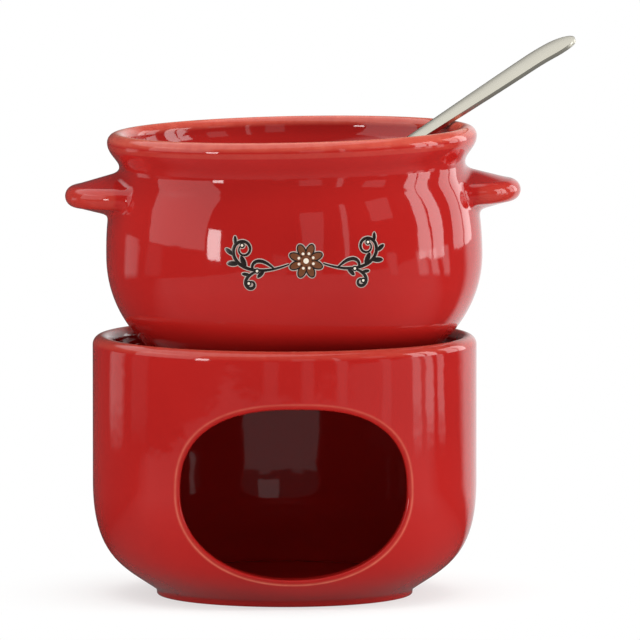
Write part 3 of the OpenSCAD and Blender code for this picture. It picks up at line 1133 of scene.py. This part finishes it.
@dataclass
class Fork:
    """The small stamped fork that leans in the bowl."""

    length: float = 138.5
    thick: float = 1.2
    head: float = 12.4
    neck: float = 4.2
    handle: float = 8.2
    slot_length: float = 19.0
    slot_width: float = 1.7
    tip_round: float = 0.8
    dish: float = 2.4
    droop: float = 1.6
    crown: float = 0.25
    tip: Triple = (-39.033, 11.1925, 14.25)
    turn: float = 1.89841
    lean: float = 31.8681
    roll: float = 19.0
    wide: float = 0.945
    rounding: float = 0.5
    handle_rows: int = 76

    def half_width(self, u: np.ndarray | float) -> np.ndarray:
        """Half width of the blank.

        Args:
            u: Distances from the tips.

        Returns:
            The half width at each.
        """
        n, head, neck, handle = self.length, self.head / 2, self.neck / 2, self.handle / 2
        line = joined(
            bezier((0, 0.78 * head), (0.065 * n, head), (0.065 * n, head), (0.13 * n, head)),
            bezier((0.13 * n, head), (0.21 * n, head), (0.21 * n, neck), (0.3 * n, neck)),
            bezier((0.3 * n, neck), (0.68 * n, neck), (0.72 * n, handle), (self.wide * n, handle)))
        return np.interp(u, line[:, 0], line[:, 1])

    def rise(self, u: np.ndarray) -> np.ndarray:
        """Height of the steel's middle above the straight handle.

        Args:
            u: Distances from the tips.

        Returns:
            The height at each.
        """
        n, low = self.length, -self.thick
        line = joined(
            bezier((0, low + self.dish), (0.05 * n, low), (0.11 * n, low), (0.16 * n, low)),
            bezier((0.16 * n, low), (0.21 * n, low), (0.24 * n, 0), (0.32 * n, 0)),
            bezier((0.9 * n, 0), (0.94 * n, 0), (0.98 * n, -self.droop / 2), (n, -self.droop)))
        return np.interp(u, line[:, 0], line[:, 1])

    def tine(self, number: int, u: float) -> tuple[float, float]:
        """Finds the two edges of a tine.

        Args:
            number: 0, 1 or 2.
            u: Distance from the tips.

        Returns:
            Their places across.
        """
        side, slot = self.half_width(u), self.head / 6
        gap = np.interp(u, [-6, self.slot_length], [self.slot_width, self.slot_width / 2])
        cuts = (-side, -slot - gap, -slot + gap, slot - gap, slot + gap, side)
        return cuts[2 * number], cuts[2 * number + 1]

    def blank(self) -> Blank:
        """Draws the flat blank with the slots left open.

        Returns:
            The blank.
        """
        blank, ends = Blank(), []
        share = np.linspace(-1, 1, 5)
        for number in range(3):
            left, right = self.tine(number, self.tip_round)
            half, middle = (right - left) / 2, (right + left) / 2
            row: list[int] = []
            for s in (1.0, 0.75, 0.5, 0.25):
                along = self.tip_round * (1 - s * np.sqrt(1 - share ** 2 / 2))
                row = blank.strip(row, blank.row(along, middle + half * share * math.sqrt(1 - s * s / 2)))
            for u in np.linspace(self.tip_round, self.slot_length, 15):
                row = blank.strip(row, blank.row(u, np.linspace(*self.tine(number, u), 5)))
            ends.append(row)
        row = ends[0]
        angle = np.radians(np.linspace(180, 0, 7))[1:-1]
        for slot, after in zip((-self.head / 6, self.head / 6), ends[1:]):
            row = row + blank.row(self.slot_length + self.slot_width / 2 * np.sin(angle),
                                  slot + self.slot_width / 2 * np.cos(angle)) + after
        across = np.array([blank.points[i][1] for i in row])
        across /= abs(across[0])
        end = self.wide * self.length
        for u in np.linspace(self.slot_length + 1.6, end, self.handle_rows):
            row = blank.strip(row, blank.row(u, across * self.half_width(u)))
        for s in np.linspace(0, 1, 11)[1:]:
            along = end + (self.length - end) * s * np.sqrt(1 - across ** 2 / 2)
            row = blank.strip(row, blank.row(along, self.handle / 2 * across * math.sqrt(1 - s * s / 2)))
        return blank

    def build(self, steel: Material, bowl: FondueBowl) -> Object:
        """Stamps the blank, bends it, gives it its thickness and leans it in the bowl.

        Args:
            steel: The brushed steel.
            bowl: The bowl that it leans in.

        Returns:
            The piece.
        """
        blank = self.blank()
        u, w = np.array(blank.points).T
        limit = np.maximum(self.half_width(np.minimum(u, self.wide * self.length)), 1e-3)
        crown = -self.crown * np.clip(np.abs(w) / limit, 0, 1) ** 2
        crown *= np.clip((u - 0.3 * self.length) / 20, 0, 1)
        p = np.column_stack([u, w, self.rise(u) + crown])
        for one, two, angle in ((1, 2, self.roll), (2, 0, -self.lean), (0, 1, self.turn)):
            c, s = math.cos(math.radians(angle)), math.sin(math.radians(angle))
            p[:, one], p[:, two] = c * p[:, one] - s * p[:, two], s * p[:, one] + c * p[:, two]
        mesh = bpy.data.meshes.new("fork_steel")
        mesh.from_pydata((bowl.place(p + np.array(self.tip)) * MM).tolist(), [], blank.faces)
        mesh.materials.append(steel)
        grain = mesh.uv_layers.new(name="grain")
        corners = np.array([loop.vertex_index for loop in mesh.loops])
        grain.data.foreach_set("uv", np.column_stack([u, w])[corners].ravel() * MM)
        piece = in_scene("fork_steel", mesh)
        wall = piece.modifiers.new("thickness", "SOLIDIFY")
        wall.thickness, wall.offset = self.thick * MM, 0
        edge = piece.modifiers.new("stamped_edge", "BEVEL")
        edge.width, edge.segments = self.rounding * MM, 3
        edge.limit_method, edge.angle_limit = "ANGLE", math.radians(50)
        made = plain_mesh(piece)
        made.polygons.foreach_set("use_smooth", [True] * len(made.polygons))
        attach(piece, Body.FORK.value)
        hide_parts("fork")
        return piece


class OrnamentTree:
    """A geometry tree that draws enamel on the bowl, with the inputs that its parts share."""

    SIZES = ("Grow", "Relief", "Lift", "Wall Radius", "Axis X")
    FAR = 0.09
    REACH = 0.2

    def __init__(self, name: str, *extra: str) -> None:
        """Makes the tree with its named inputs.

        Args:
            name: The tree's name.
            *extra: Names of further sizes.
        """
        self.tree = bpy.data.node_groups.new(name, "GeometryNodeTree")
        face = self.tree.interface
        kinds = {"Geometry": "NodeSocketGeometry", "Bowl": "NodeSocketObject",
                 "Material": "NodeSocketMaterial"} | dict.fromkeys(self.SIZES + extra, "NodeSocketFloat")
        for key, kind in kinds.items():
            face.new_socket(name=key, in_out="INPUT", socket_type=kind)
        face.new_socket(name="Geometry", in_out="OUTPUT", socket_type="NodeSocketGeometry")
        self.given = add(self.tree, "NodeGroupInput").node.outputs

    def finish(self, geometry: NodeSocket) -> None:
        """Flattens the drawing, wraps it on the bowl's wall and gives it its colour.

        Args:
            geometry: The drawing in the plane that faces the front.
        """
        tree, given = self.tree, self.given
        real = add(tree, "GeometryNodeRealizeInstances", (geometry,))
        x, y, z = add(tree, "ShaderNodeSeparateXYZ", (add(tree, "GeometryNodeInputPosition"),)).node.outputs
        proud = add(tree, "ShaderNodeMath", (y, given["Relief"], given["Lift"]), operation="MULTIPLY_ADD")
        turn = add(tree, "ShaderNodeMath", (x, given["Wall Radius"]), operation="DIVIDE")
        sine = add(tree, "ShaderNodeMath", (turn,), operation="SINE")
        cosine = add(tree, "ShaderNodeMath", (turn,), operation="COSINE")
        ahead = add(tree, "ShaderNodeMath", (cosine, -1.0), operation="MULTIPLY")
        away = add(tree, "ShaderNodeCombineXYZ", (sine, ahead))
        axis = add(tree, "ShaderNodeCombineXYZ", {0: given["Axis X"], 2: z})
        far = add(tree, "ShaderNodeVectorMath", (away, (self.FAR,) * 3, axis), operation="MULTIPLY_ADD")
        back = add(tree, "ShaderNodeVectorMath", {0: away, "Scale": -1.0}, operation="SCALE")
        wall = add(tree, "GeometryNodeObjectInfo", {"Object": given["Bowl"]}, "Geometry")
        hit = add(tree, "GeometryNodeRaycast", {
            "Target Geometry": wall, "Source Position": far, "Ray Direction": back,
            "Ray Length": self.REACH}).node.outputs
        out = add(tree, "ShaderNodeVectorMath", {0: hit["Hit Normal"], "Scale": proud}, operation="SCALE")
        place = add(tree, "ShaderNodeVectorMath", (hit["Hit Position"], out), operation="ADD")
        wrapped = add(tree, "GeometryNodeSetPosition", {"Geometry": real, "Position": place})
        smooth = add(tree, "GeometryNodeSetShadeSmooth", {"Geometry": wrapped})
        painted = add(tree, "GeometryNodeSetMaterial", {"Geometry": smooth, "Material": given["Material"]})
        add(tree, "NodeGroupOutput", (painted,))


@dataclass
class Ornament:
    """A made-up scroll ornament in enamel on the front of the bowl."""

    middle: float = 95.6
    axis: float = 2.7
    wall_radius: float = 51.3
    stroke: float = 0.9
    edging: float = 0.24
    outline: float = 0.34
    petals: int = 8
    petal: tuple[float, float] = (3.3, 1.7)
    petal_ring: float = 2.9
    heart: float = 3.0
    bead: float = 0.75
    tip_bead: float = 0.7
    middle_bead: float = 1.5
    relief: float = -0.1
    lean: float = 1.2

    def scroll(self, start: tuple[float, float], heading: float, length: float,
               bends: tuple[float, ...]) -> np.ndarray:
        """A line that bends more and more, like a vine's.

        Args:
            start: Where it starts, from the middle of the ornament.
            heading: Its first direction in degrees.
            length: Its length.
            bends: Bend per millimetre at even steps along it.

        Returns:
            Points sideways and upwards.
        """
        way = np.linspace(0, length, 140)
        bend = np.interp(way, np.linspace(0, length, len(bends)), bends)
        turn = math.radians(heading) + np.concatenate([[0], np.cumsum(bend[:-1] * np.diff(way))])
        step = np.column_stack([np.cos(turn), np.sin(turn)])[:-1] * np.diff(way)[:, None]
        return np.vstack([[start], np.array(start) + np.cumsum(step, axis=0)])

    def vines(self) -> list[np.ndarray]:
        """Draws the right-hand vines.

        Returns:
            The long one, the one that hangs under it and the short one above.
        """
        long = self.scroll((4.6, -0.8), -20, 32, (0.02, 0.05, 0.07, 0.12, 0.24, 0.38, 0.5, 0.64, 0.85))
        under = self.scroll(tuple(long[36]), -18, 11.5, (-0.04, -0.16, -0.42, -0.75, -1.1, -1.4))
        above = self.scroll(tuple(long[18]), 40, 9.5, (0.0, -0.1, -0.26, -0.5, -0.8, -1.1))
        return [long, under, above]

    def leaves(self, vines: list[np.ndarray]) -> list[tuple[float, ...]]:
        """Sets leaves on the vines and a drop on each end.

        Args:
            vines: The right-hand vines.

        Returns:
            Middle, turn, length and width of each.
        """
        found = []
        for vine, at, side, long in ((0, 30, -1, 2.6), (0, 52, 1, 3.4), (0, 62, -1, 3.2), (0, 74, -1, 2.8),
                                     (0, 86, -1, 2.4), (1, 34, 1, 2.2)):
            line = vines[vine]
            along = line[at + 1] - line[at]
            turn = math.atan2(along[1], along[0]) + side * 0.75
            x, z = line[at] + np.array([math.cos(turn), math.sin(turn)]) * long * 0.55
            found.append((x, z, turn, long, 0.42 * long))
        return found + [(*vine[-1], 0.0, 1.5, 1.5) for vine in vines]

    def level(self, points: np.ndarray) -> np.ndarray:
        """Turns the drawing with the leaning bowl and lifts it to its height.

        Args:
            points: Sideways and upwards in millimetres.

        Returns:
            Points in metres.
        """
        a = math.radians(self.lean)
        x, z = points.T
        return np.column_stack([x * math.cos(a) - z * math.sin(a), 0 * x,
                                x * math.sin(a) + z * math.cos(a) + self.middle]) * MM

    def vine_mesh(self, vines: list[np.ndarray]) -> Mesh:
        """Makes the vines of both sides a mesh of edges.

        Args:
            vines: The right-hand vines.

        Returns:
            The mesh.
        """
        points: list[tuple[float, ...]] = []
        edges: list[tuple[int, int]] = []
        for line in vines:
            for side in (1, -1):
                start = len(points)
                points += [tuple(p) for p in self.level(line * np.array([side, 1]))]
                edges += [(start + i, start + i + 1) for i in range(len(line) - 1)]
        mesh = bpy.data.meshes.new("vine_paths")
        mesh.from_pydata(points, edges, [])
        return mesh

    def drop_mesh(self, name: str, drops: list[tuple[float, ...]], mirrored: bool = False) -> Mesh:
        """Makes points that carry the turn and size of the drop that is set on each.

        Args:
            name: The mesh's name.
            drops: Middle, turn, length and width of each.
            mirrored: True if the left half repeats them.

        Returns:
            The mesh.
        """
        table = np.array(drops)
        if mirrored:
            other = table * np.array([-1, 1, -1, 1, 1])
            other[:, 2] += math.pi
            table = np.vstack([table, other])
        mesh = bpy.data.meshes.new(name)
        mesh.from_pydata(self.level(table[:, :2]).tolist(), [], [])
        for key, column, scale in (("turn", 2, 1.0), ("long", 3, MM), ("wide", 4, MM)):
            mesh.attributes.new(key, "FLOAT", "POINT").data.foreach_set("value", table[:, column] * scale)
        return mesh

    def stem_tree(self) -> OrnamentTree:
        """Makes the tree for strokes with pointed ends along the vines.

        Returns:
            The tree.
        """
        made = OrnamentTree("vine_strokes", "Stroke")
        tree, given = made.tree, made.given
        stems = add(tree, "GeometryNodeMeshToCurve", {"Mesh": given["Geometry"]})
        along = add(tree, "GeometryNodeSplineParameter", out="Factor")
        angle = add(tree, "ShaderNodeMath", (along, math.pi), operation="MULTIPLY")
        swell = add(tree, "ShaderNodeMath", (angle,), operation="SINE")
        share = add(tree, "ShaderNodeMath", (swell, 0.325, 0.225), operation="MULTIPLY_ADD")
        thick = add(tree, "ShaderNodeMath", (given["Stroke"], share, given["Grow"]),
                    operation="MULTIPLY_ADD")
        ring = add(tree, "GeometryNodeCurvePrimitiveCircle", {"Resolution": 10, "Radius": 1.0})
        made.finish(add(tree, "GeometryNodeCurveToMesh", {"Curve": stems, "Profile Curve": ring,
                                                          "Scale": thick, "Fill Caps": True}))
        return made

    def drop_tree(self) -> OrnamentTree:
        """Makes the tree for flat drops on points: leaves, petals and beads.

        Returns:
            The tree.
        """
        made = OrnamentTree("drops_on_points")
        tree, given = made.tree, made.given
        turn, long, wide = (add(tree, "GeometryNodeInputNamedAttribute", {"Name": key}, data_type="FLOAT")
                            for key in ("turn", "long", "wide"))
        ball = add(tree, "GeometryNodeMeshUVSphere", {"Segments": 16, "Rings": 10, "Radius": 1.0}, "Mesh")
        half_long, half_wide = (add(tree, "ShaderNodeMath", (whole, 0.5, given["Grow"]),
                                    operation="MULTIPLY_ADD") for whole in (long, wide))
        size = add(tree, "ShaderNodeCombineXYZ", (half_long, 0.5 * MM, half_wide))
        back = add(tree, "ShaderNodeMath", (turn, -1.0), operation="MULTIPLY")
        made.finish(add(tree, "GeometryNodeInstanceOnPoints", {
            "Points": given["Geometry"], "Instance": ball, "Scale": size,
            "Rotation": add(tree, "ShaderNodeCombineXYZ", {1: back})}))
        return made

    def lay(self, name: str, tree: OrnamentTree, mesh: Mesh, bowl: Object, finish: Material,
            grow: float, lift: float) -> None:
        """Draws one layer of the ornament on the bowl.

        Args:
            name: The piece's name.
            tree: The tree that draws it.
            mesh: What the tree starts from.
            bowl: The glazed bowl.
            finish: Its enamel.
            grow: How much wider it is drawn on each side.
            lift: How far it stands proud of the glaze.
        """
        piece = in_scene(name, mesh)
        drawing = piece.modifiers.new("drawing", "NODES")
        drawing.node_group = tree.tree
        values = {"Bowl": bowl, "Material": finish, "Axis X": self.axis * MM, "Grow": grow * MM,
                  "Wall Radius": self.wall_radius * MM, "Relief": self.relief, "Lift": lift * MM,
                  "Stroke": self.stroke * MM}
        for item in tree.tree.interface.items_tree:
            if item.in_out == "INPUT" and item.name in values:
                drawing[item.identifier] = values[item.name]
        made = plain_mesh(piece)
        made.materials.clear()
        made.materials.append(finish)
        made.polygons.foreach_set("material_index", [0] * len(made.polygons))
        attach(piece, Body.BOWL.value)
        LOG.info("%s: %d faces", name, len(made.polygons))

    def build(self, bowl: Object) -> None:
        """Lays the pale edging, the dark strokes and the rosette.

        Args:
            bowl: The glazed bowl.
        """
        dark = Enamel("black_enamel_fired", "#15110f", "#241c18").material()
        pale = Enamel("pale_grey_enamel_fired", "#b9aca4", "#a3938b").material()
        brown = Enamel("brown_enamel_fired", "#7a4526", "#5e351c").material()
        cream = Enamel("cream_enamel_fired", "#efe6d8", "#ddd0bd").material()
        vines = self.vines()
        paths = self.vine_mesh(vines)
        leaves = self.drop_mesh("leaf_points", self.leaves(vines), True)
        spokes = [2 * math.pi * (k + 0.5) / self.petals for k in range(self.petals)]
        ring = [(self.petal_ring * math.cos(a), self.petal_ring * math.sin(a), a, *self.petal)
                for a in spokes]
        rosette = self.drop_mesh("petal_points", ring + [(0, 0, 0, self.heart, self.heart)])
        dots = [(0.72 * x, 0.72 * z, a, self.bead, self.bead) for x, z, a, _, _ in ring]
        dots += [(s * v[-1][0], v[-1][1], 0, self.tip_bead, self.tip_bead) for v in vines for s in (1, -1)]
        beads = self.drop_mesh("bead_points", dots + [(0, 0, 0, self.middle_bead, self.middle_bead)])
        stems, drops = self.stem_tree(), self.drop_tree()
        rim, line = self.edging, self.outline
        self.lay("vine_edging", stems, paths, bowl, pale, rim, 0.02)
        self.lay("leaf_edging", drops, leaves, bowl, pale, rim, 0.02)
        self.lay("vine_strokes", stems, paths, bowl, dark, 0.0, 0.06)
        self.lay("leaf_strokes", drops, leaves, bowl, dark, 0.0, 0.06)
        self.lay("rosette_edging", drops, rosette, bowl, pale, line + rim, 0.03)
        self.lay("rosette_outline", drops, rosette, bowl, dark, line, 0.07)
        self.lay("rosette_petals", drops, rosette, bowl, brown, 0.0, 0.11)
        self.lay("rosette_beads", drops, beads, bowl, cream, 0.0, 0.15)


@dataclass(frozen=True)
class Lamp:
    """One soft lamp: where it hangs round the set, its size in metres and how bright its face is."""

    name: str
    azimuth: float
    distance: float
    height: float
    size: tuple[float, float]
    radiance: float
    mirrored: bool = True


@dataclass
class Studio:
    """Pale table, soft lamps and the camera at the photograph's angle."""

    azimuth: float = -3.6
    elevation: float = 5.203
    distance: float = 3.3
    lens: float = 679.2
    aim_side: float = 9.66
    aim_height: float = 75.0
    lamp_aim: Triple = (0.0, 0.0, 0.08)
    fill: float = 0.7
    # What the glaze mirrors: brightness of the dark part of the room, of the part behind on the
    # right and of the part high up, with the direction of each bright part and where it fades in
    dark_side: float = 0.07
    bright_side: float = 0.92
    bright_way: Triple = (0.5, 0.866, 0.0)
    bright_fade: Span = (0.86, 0.95)
    high_light: float = 1.2
    high_way: Triple = (-0.35, 0.2, 1.0)
    high_fade: Span = (0.72, 0.84)
    # The table in metres: its half width, how the set's contact shadow fades, with the share of
    # white beside the foot, and how the table's reflection dims close to the set
    table_half: float = 6.0
    shadow_fade: Span = (0.035, 0.09)
    shadow_share: float = 0.6
    dim_fade: Span = (0.05, 0.25)
    dim_share: float = 0.45
    # What the glaze mirrors in it: a pale sheet in front with its fading edges, and bands of
    # light beyond it, each by its azimuth and half width in degrees and its brightness
    sheet: float = 0.36
    sheet_front: Span = (-0.66, -0.6)
    sheet_left: Span = (-0.46, -0.44)
    sheet_back: Span = (-0.02, 0.06)
    beyond: Span = (0.42, 0.58)
    bands: tuple[Triple, ...] = (
        (-121.0, 9.0, 0.7), (-98.0, 9.0, 0.22), (80.0, 4.0, 1.5), (90.0, 4.0, 1.7), (101.0, 4.0, 1.2),
        (58.0, 4.0, 0.6), (30.0, 4.0, 0.5), (-12.0, 5.0, 0.3), (10.0, 4.0, 0.35))
    lamps: tuple[Lamp, ...] = (
        Lamp("window_left", -81.0, 1.2, 0.47, (1.05, 0.8), 1.05),
        Lamp("small_lamp_left", -52.6, 1.1, 0.155, (0.155, 0.225), 10.0),
        Lamp("pane_right_1", 82.5, 1.15, 0.36, (0.2, 0.66), 3.7),
        Lamp("pane_right_2", 94.0, 1.15, 0.36, (0.2, 0.66), 3.7),
        Lamp("pane_right_3", 115.5, 1.15, 0.34, (0.24, 0.6), 2.0),
        Lamp("pane_right_4", 129.0, 1.15, 0.34, (0.24, 0.6), 2.0),
        Lamp("door_gap", 28.0, 1.3, 0.42, (0.075, 0.75), 1.1),
        Lamp("door_front", 8.0, 1.4, 0.4, (0.34, 0.6), 0.45),
        Lamp("high_pane_right", 53.0, 1.3, 0.62, (0.34, 0.4), 0.6),
        Lamp("overhead", 0.0, 0.1, 1.4, (1.2, 1.0), 2.65, False),
        Lamp("daylight_right", 80.0, 1.3, 0.8, (0.7, 0.7), 4.0, False))

    def lamp(self, lamp: Lamp) -> None:
        """Hangs one soft lamp.

        Args:
            lamp: Its sizes and place.
        """
        data = bpy.data.lights.new(lamp.name, "AREA")
        data.shape = "RECTANGLE"
        data.size, data.size_y = lamp.size
        data.energy = lamp.radiance * math.pi * lamp.size[0] * lamp.size[1]
        turn = math.radians(lamp.azimuth)
        hung = in_scene(lamp.name, data)
        hung.location = (math.sin(turn) * lamp.distance, -math.cos(turn) * lamp.distance, lamp.height)
        hung.rotation_euler = (Vector(self.lamp_aim) - hung.location).to_track_quat("-Z", "Y").to_euler()
        hung.visible_glossy = lamp.mirrored

    def table(self) -> None:
        """Lays the pale table, which keeps the set's shadow."""
        half = self.table_half
        mesh = bpy.data.meshes.new("table")
        mesh.from_pydata([(-half, -half, 0), (half, -half, 0), (half, half, 0), (-half, half, 0)], [],
                         [(0, 1, 2, 3)])
        table = in_scene("table", mesh)
        material, tree = new_material("white_studio_table")
        camera = add(tree, "ShaderNodeLightPath", out="Is Camera Ray")
        place = add(tree, "ShaderNodeTexCoord", out="Object")
        away = add(tree, "ShaderNodeVectorMath", (place,), "Value", operation="LENGTH")
        share = add(tree, "ShaderNodeMapRange", (away, *self.shadow_fade, self.shadow_share, 1.0),
                    interpolation_type="SMOOTHSTEP")
        shown = add(tree, "ShaderNodeMix", {0: camera, 2: 1.0, 3: share}, data_type="FLOAT")
        part = add(tree, "ShaderNodeMath", (self.background_rays(tree), shown), operation="MULTIPLY")
        light = self.table_light(tree, place, away)
        strength = add(tree, "ShaderNodeMix", {0: camera, 2: light, 3: 1.0}, data_type="FLOAT")
        dull = add(tree, "ShaderNodeBsdfDiffuse", {"Color": linear("#f4f3f1")})
        glow = add(tree, "ShaderNodeEmission", {"Strength": strength})
        mix = add(tree, "ShaderNodeMixShader", (part, dull, glow))
        add(tree, "ShaderNodeOutputMaterial", {"Surface": mix})
        mesh.materials.append(material)

    def table_light(self, tree: NodeTree, place: NodeSocket, away: NodeSocket) -> NodeSocket:
        """How bright the table looks in the glaze: sheet, bands and room, dimmer close to the set.

        Args:
            tree: The table's node tree.
            place: The place on the table.
            away: Its distance from the set.

        Returns:
            The brightness, where 1 is white.
        """
        x, y, _ = add(tree, "ShaderNodeSeparateXYZ", (place,)).node.outputs
        ahead = add(tree, "ShaderNodeMapRange", (y, *self.sheet_front, 0.0, 1.0))
        left = add(tree, "ShaderNodeMapRange", (x, *self.sheet_left, 0.0, self.sheet))
        near = add(tree, "ShaderNodeMapRange", (y, *self.sheet_back, 1.0, 0.0))
        front = add(tree, "ShaderNodeMath", (ahead, near), operation="MULTIPLY")
        sheet = add(tree, "ShaderNodeMath", (front, left), operation="MULTIPLY")
        unit = add(tree, "ShaderNodeVectorMath", (place,), operation="NORMALIZE")
        light = add(tree, "ShaderNodeMath", (self.room_light(tree, unit), sheet), operation="MAXIMUM")
        forward = add(tree, "ShaderNodeMath", (y, -1.0), operation="MULTIPLY")
        turn = add(tree, "ShaderNodeMath", (x, forward), operation="ARCTAN2")
        beyond = add(tree, "ShaderNodeMapRange", (away, *self.beyond))
        for azimuth, half, strength in self.bands:
            off = add(tree, "ShaderNodeMath", (turn, math.radians(azimuth)), operation="SUBTRACT")
            side = add(tree, "ShaderNodeMath", (off,), operation="ABSOLUTE")
            inside = add(tree, "ShaderNodeMapRange", (side, math.radians(0.6 * half),
                                                      math.radians(1.1 * half), strength, 0.0))
            band = add(tree, "ShaderNodeMath", (inside, beyond), operation="MULTIPLY")
            light = add(tree, "ShaderNodeMath", (light, band), operation="MAXIMUM")
        dim = add(tree, "ShaderNodeMapRange", (away, *self.dim_fade, self.dim_share, 1.0))
        return add(tree, "ShaderNodeMath", (light, dim), operation="MULTIPLY")

    def background_rays(self, tree: NodeTree) -> NodeSocket:
        """Finds the rays that see the background.

        Args:
            tree: The node tree that gets the nodes.

        Returns:
            1 where the camera looks, also by way of gloss or glass.
        """
        path = add(tree, "ShaderNodeLightPath").node.outputs
        seen = add(tree, "ShaderNodeMath", (path["Is Camera Ray"], path["Is Glossy Ray"]))
        return add(tree, "ShaderNodeMath", (seen, path["Is Transmission Ray"]), use_clamp=True)

    def room_light(self, tree: NodeTree, way: NodeSocket) -> NodeSocket:
        """How bright the room looks in the glaze: dark in front, light high up and behind on the right.

        Args:
            tree: The node tree that gets the nodes.
            way: The direction, of length 1.

        Returns:
            The brightness, where 1 is white.
        """
        slant = add(tree, "ShaderNodeVectorMath", (way, self.bright_way), "Value", operation="DOT_PRODUCT")
        side = add(tree, "ShaderNodeMapRange", (slant, *self.bright_fade, self.dark_side, self.bright_side),
                   interpolation_type="SMOOTHSTEP")
        rise = add(tree, "ShaderNodeVectorMath", (way, self.high_way), "Value", operation="DOT_PRODUCT")
        high = add(tree, "ShaderNodeMapRange", (rise, *self.high_fade, 0.0, self.high_light),
                   interpolation_type="SMOOTHSTEP")
        return add(tree, "ShaderNodeMath", (side, high), operation="MAXIMUM")

    def room(self) -> None:
        """White surroundings, dim where the room is dark."""
        world = bpy.data.worlds.new("studio")
        bpy.context.scene.world = world
        world.use_nodes = True
        tree = world.node_tree
        tree.nodes.clear()
        light = self.room_light(tree, add(tree, "ShaderNodeTexCoord", out="Generated"))
        strength = add(tree, "ShaderNodeMix", {0: self.background_rays(tree), 2: self.fill, 3: light},
                       data_type="FLOAT")
        camera = add(tree, "ShaderNodeLightPath", out="Is Camera Ray")
        final = add(tree, "ShaderNodeMix", {0: camera, 2: strength, 3: 1.0}, data_type="FLOAT")
        glow = add(tree, "ShaderNodeBackground", {"Color": (1, 1, 1, 1), "Strength": final})
        add(tree, "ShaderNodeOutputWorld", {"Surface": glow})

    def camera(self) -> None:
        """Sets the camera where the photograph was taken from."""
        a, e = math.radians(self.azimuth), math.radians(self.elevation)
        back = Vector((math.sin(a) * math.cos(e), -math.cos(a) * math.cos(e), math.sin(e)))
        aim = Vector((self.aim_side * math.cos(a), self.aim_side * math.sin(a), self.aim_height)) * MM
        data = bpy.data.cameras.new("camera")
        data.sensor_width, data.lens = 36, self.lens
        camera = in_scene("camera", data)
        camera.location = aim + back * self.distance
        camera.rotation_euler = (-back).to_track_quat("-Z", "Y").to_euler()
        bpy.context.scene.camera = camera

    def build(self) -> None:
        """Sets up the whole studio."""
        bpy.context.scene.view_settings.view_transform = "Standard"
        self.table()
        self.room()
        self.camera()
        for lamp in self.lamps:
            self.lamp(lamp)


def main() -> None:
    """Builds the set piece by piece and reports each."""
    logging.basicConfig(level=logging.INFO, format="%(message)s")
    Studio().build()
    glaze, clay = RedGlaze().material(), BareClay().material()
    bowl_plan = FondueBowl()
    base = WarmerBase().build(glaze, clay)
    bowl = bowl_plan.build(glaze, clay)
    fork = Fork().build(StampedSteel().material(), bowl_plan)
    for piece in (base, bowl, fork):
        LOG.info("%s: %d faces", piece.name, len(piece.data.polygons))
    Ornament(lean=bowl_plan.lean).build(bowl)


if __name__ == "__main__":
    main()
